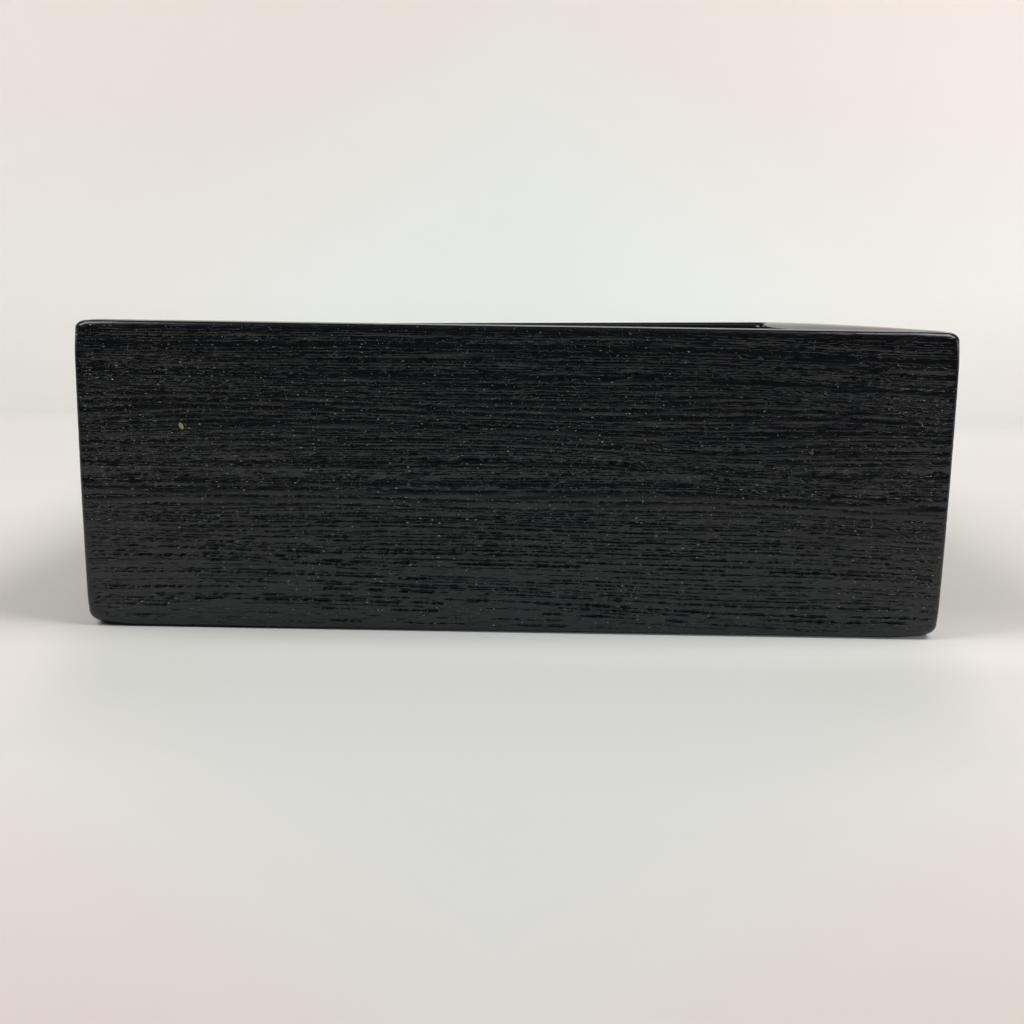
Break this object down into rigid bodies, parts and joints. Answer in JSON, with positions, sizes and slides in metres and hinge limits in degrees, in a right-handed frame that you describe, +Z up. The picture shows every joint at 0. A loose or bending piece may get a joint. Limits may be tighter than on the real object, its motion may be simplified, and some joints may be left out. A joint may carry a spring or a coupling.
{
  "type": "lacquer box",
  "caption": "Open square box of glossy black lacquerware with low walls, rounded rim and edges, and a fine wood-grain relief on its outer sides.",
  "frame": {"origin": "centre of the flat underside", "axes": "+Z up out of the open top, -Y out of the near side, whose rim is level, +X to the right of that side"},
  "size_m": [0.2, 0.2, 0.0715],
  "materials": {
    "black_lacquer": "glossy black lacquer over moulded resin, smooth inside and on the rim, wood-grain relief on the four outer sides"
  },
  "bodies": {
    "root": {"box": "black_lacquer"}
  },
  "joints": []
}
